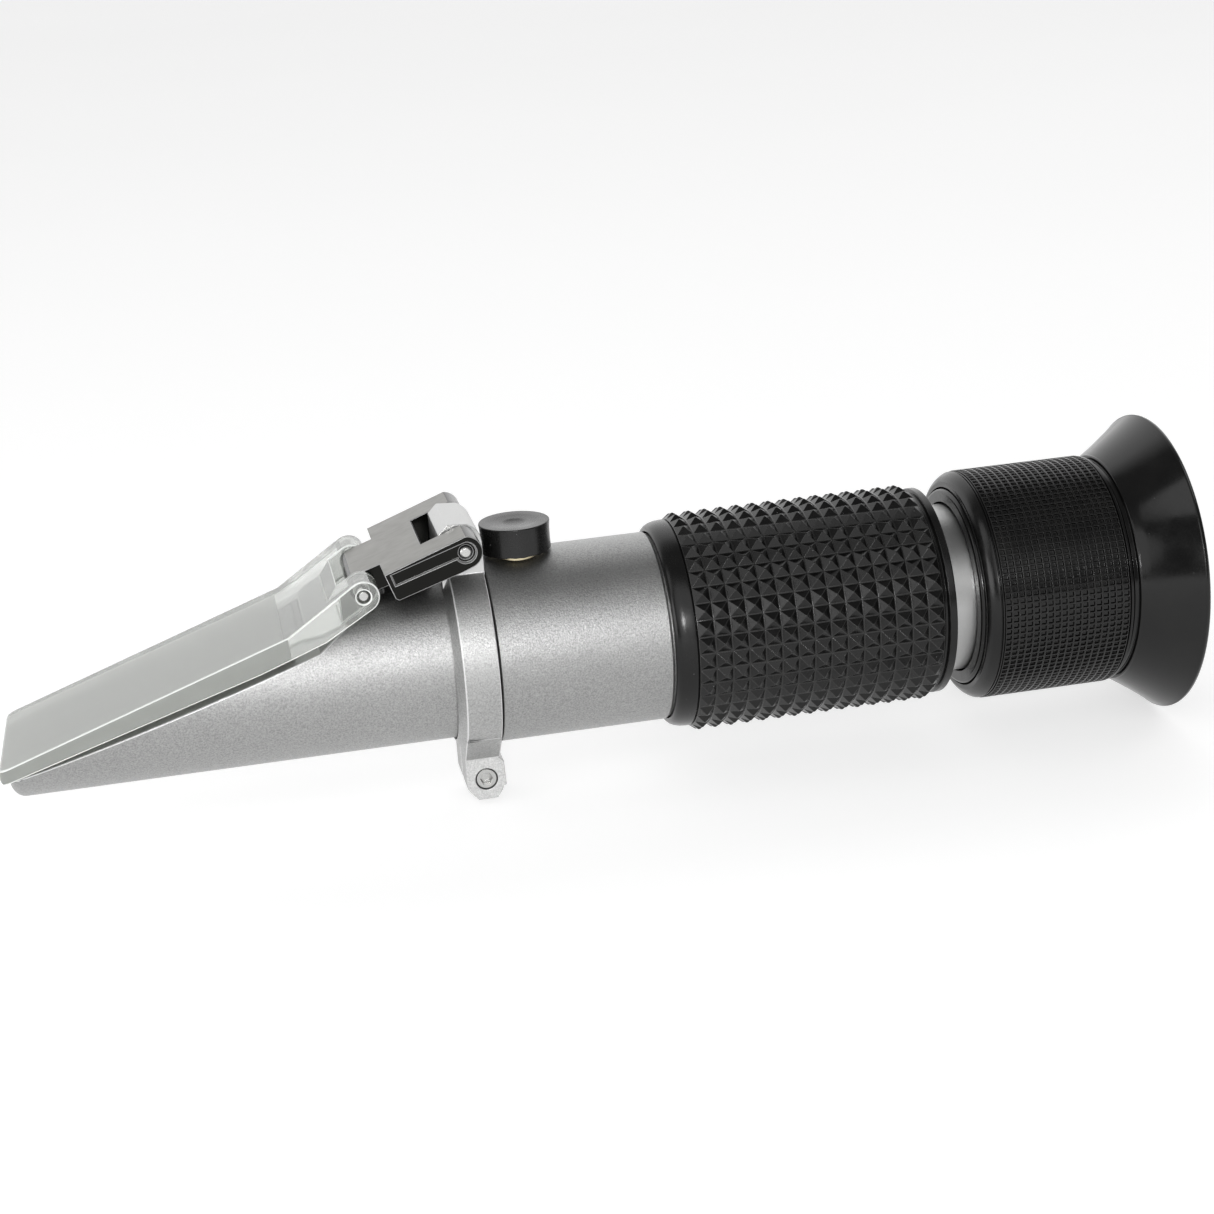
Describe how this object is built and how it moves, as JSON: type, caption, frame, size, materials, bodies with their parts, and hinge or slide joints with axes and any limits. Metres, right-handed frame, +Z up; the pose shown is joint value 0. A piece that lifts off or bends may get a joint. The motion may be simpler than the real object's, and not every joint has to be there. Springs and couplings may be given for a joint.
{
  "type": "refractometer",
  "caption": "Hand-held refractometer: slanted prism housing with a hinged daylight plate, studded grip, calibration screw under a cap, and focusing eyepiece with a soft eyecup.",
  "frame": {"origin": "on the optical axis, half-way along the instrument, which is the centre of its bounding box", "axes": "+X along the optical axis towards the eye, +Z up towards the daylight plate's hinge, +Y to the left seen by the user"},
  "size_m": [0.1678, 0.0436, 0.0436],
  "materials": {
    "satin_aluminium": "bead-blasted, clear anodised, satin",
    "bright_aluminium": "bead-blasted, slightly brighter than the tube",
    "black_chrome": "black chrome plating, polished",
    "steel": "bright turned steel",
    "spring_steel": "drawn spring wire and strip",
    "brass": "turned brass",
    "clear_acrylic": "moulded clear acrylic, slightly frosted",
    "optical_glass": "polished optical glass",
    "grip_rubber": "moulded rubber with raised studs, semi-gloss",
    "cap_rubber": "moulded rubber, semi-gloss",
    "eyecup_rubber": "soft moulded rubber, smooth and slightly glossy",
    "seal_rubber": "matt seal rubber",
    "black_anodised": "matt black anodised",
    "focus_black": "black, finely knurled"
  },
  "bodies": {
    "root": {"prism_housing": "satin_aluminium", "prism": "optical_glass", "prism_seal": "seal_rubber", "main_tube": "satin_aluminium", "clamp_ring": "bright_aluminium", "clamp_screw": "steel", "screw_bush": "brass", "calibration_spring": "spring_steel", "field_stop": "black_anodised", "reticle_ring": "black_anodised", "reticle": "optical_glass", "reticle_clip": "spring_steel", "rubber_grip": "grip_rubber", "eyepiece_barrel": "satin_aluminium", "guide_pin": "steel", "focus_o_ring": "seal_rubber"},
    "link": {"hinge_link": "black_chrome", "hinge_pin_rear": "steel", "hinge_pin_front": "steel"},
    "plate": {"daylight_plate": "clear_acrylic"},
    "cap": {"screw_cap": "cap_rubber"},
    "objective": {"objective_holder": "black_anodised", "objective_lens": "optical_glass", "objective_retainer": "black_anodised", "bimetal_strip": "brass"},
    "adjuster": {"calibration_screw": "brass"},
    "eyepiece": {"lens_cell": "black_anodised", "field_lens": "optical_glass", "lens_spacer": "black_anodised", "eye_lens": "optical_glass", "lens_retainer": "black_anodised"},
    "focus": {"focus_sleeve": "focus_black", "focus_ring": "focus_black", "eyecup": "eyecup_rubber"}
  },
  "joints": [
    {"name": "link_swing", "type": "hinge", "parent": "root", "child": "link", "pos_m": [-0.0189, 0, 0.0178], "axis": [0, 1, 0], "range_deg": [0, 60]},
    {"name": "plate_swing", "type": "hinge", "parent": "link", "child": "plate", "pos_m": [-0.03315, 0, 0.0133], "axis": [0, 1, 0], "range_deg": [0, 100]},
    {"name": "cap_pull", "type": "slide", "parent": "root", "child": "cap", "axis": [0, 0, 1], "range_m": [0, 0.012]},
    {"name": "objective_shift", "type": "slide", "parent": "root", "child": "objective", "axis": [0, 0, 1], "range_m": [-0.0005, 0.0005], "deforming": ["calibration_spring"]},
    {"name": "calibration_turn", "type": "hinge", "parent": "objective", "child": "adjuster", "pos_m": [-0.0105, 0, 0.012], "axis": [0, 0, 1], "range_deg": [-360, 360]},
    {"name": "eyepiece_travel", "type": "slide", "parent": "root", "child": "eyepiece", "axis": [1, 0, 0], "range_m": [-0.0025, 0.0025]},
    {"name": "focus_turn", "type": "hinge", "parent": "eyepiece", "child": "focus", "pos_m": [0.066, 0, 0], "axis": [1, 0, 0], "range_deg": [-180, 180]}
  ],
  "couplings": [
    {"joint": "calibration_turn", "follows": "objective_shift", "rad_per_m": 12566},
    {"joint": "eyepiece_travel", "follows": "focus_turn", "m_per_rad": 0.00079577}
  ]
}
